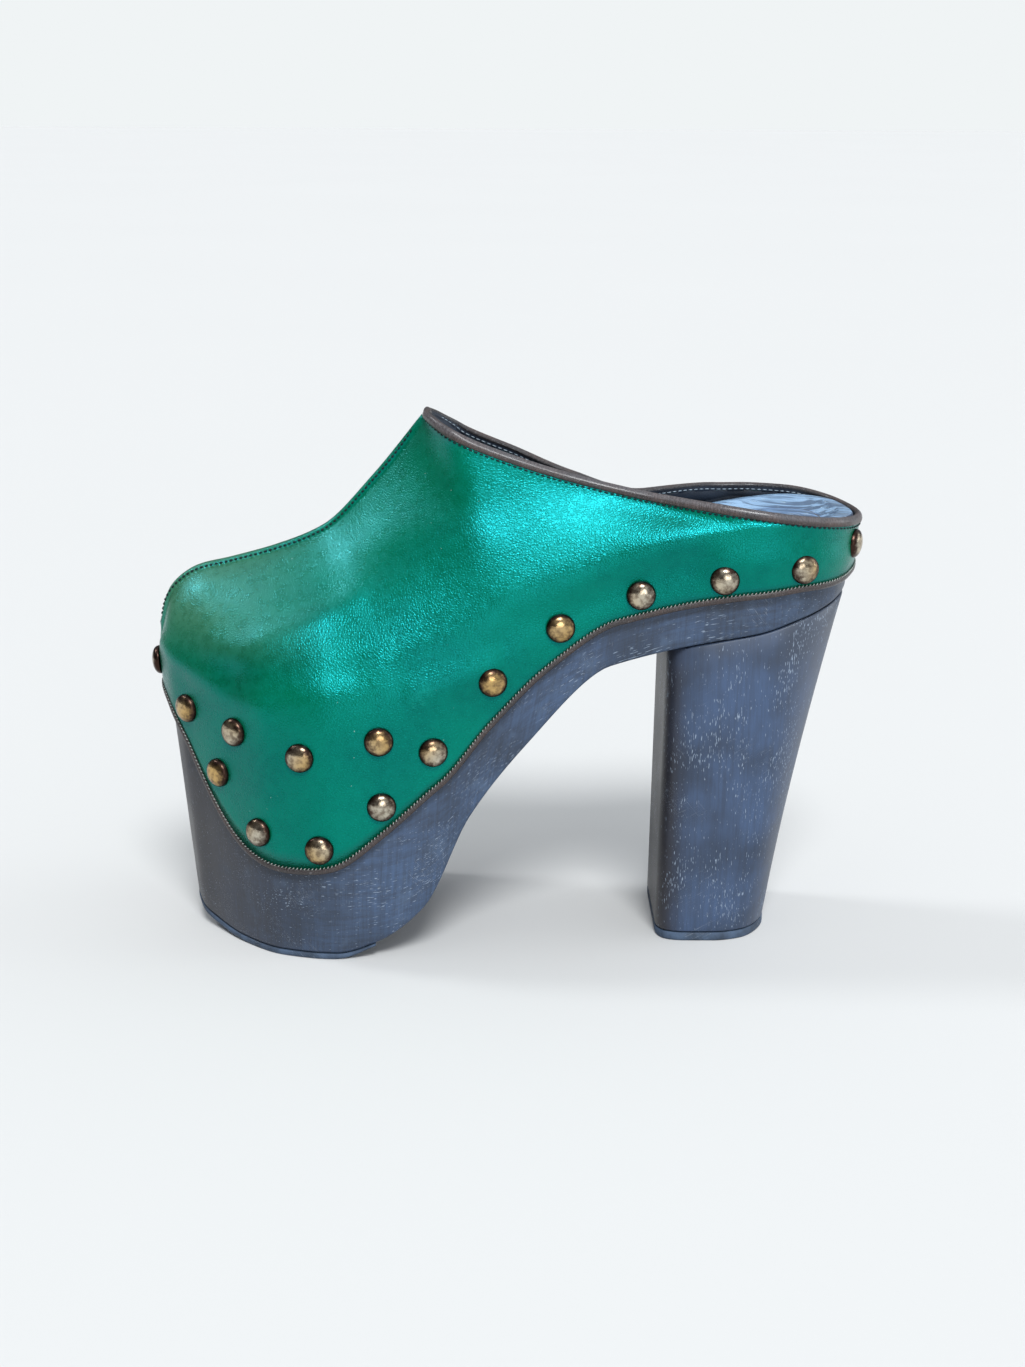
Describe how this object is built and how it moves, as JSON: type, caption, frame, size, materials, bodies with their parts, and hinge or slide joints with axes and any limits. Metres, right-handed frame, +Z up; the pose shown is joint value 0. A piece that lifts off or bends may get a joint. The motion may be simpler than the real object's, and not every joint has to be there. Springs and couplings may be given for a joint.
{
  "type": "platform clog",
  "caption": "Right-foot platform clog: carved wooden sole on a tall block heel, closed-toe leather upper open at the heel, edged with domed studs.",
  "frame": {"origin": "on the floor under the middle of the whole shoe's bounding box", "axes": "+X from the toe to the heel, +Y from the inner side of the foot to the outer side, +Z up"},
  "size_m": [0.2372, 0.1002, 0.1764],
  "materials": {
    "wood": "slate blue-grey stain, worn",
    "tread": "matt grey-blue",
    "upper_leather": "smooth green leather, semi-gloss",
    "binding_leather": "grey-brown leather, satin",
    "stud_brass": "antique, polished dome"
  },
  "bodies": {
    "root": {"sole": "wood", "heel": "wood", "outsole": "tread", "top_lift": "tread", "upper": "upper_leather", "collar_binding": "binding_leather", "edge_binding": "binding_leather", "stud_toe": "stud_brass", "stud_inner_1": "stud_brass", "stud_inner_2": "stud_brass", "stud_inner_3": "stud_brass", "stud_inner_4": "stud_brass", "stud_inner_5": "stud_brass", "stud_inner_6": "stud_brass", "stud_inner_7": "stud_brass", "stud_inner_8": "stud_brass", "stud_inner_9": "stud_brass", "stud_inner_10": "stud_brass", "stud_inner_11": "stud_brass", "stud_inner_12": "stud_brass", "stud_inner_13": "stud_brass", "stud_inner_14": "stud_brass", "stud_inner_15": "stud_brass", "stud_outer_1": "stud_brass", "stud_outer_2": "stud_brass", "stud_outer_3": "stud_brass", "stud_outer_4": "stud_brass", "stud_outer_5": "stud_brass", "stud_outer_6": "stud_brass", "stud_outer_7": "stud_brass", "stud_outer_8": "stud_brass", "stud_outer_9": "stud_brass", "stud_outer_10": "stud_brass", "stud_outer_11": "stud_brass", "stud_outer_12": "stud_brass", "stud_outer_13": "stud_brass", "stud_outer_14": "stud_brass", "stud_outer_15": "stud_brass"}
  },
  "joints": []
}
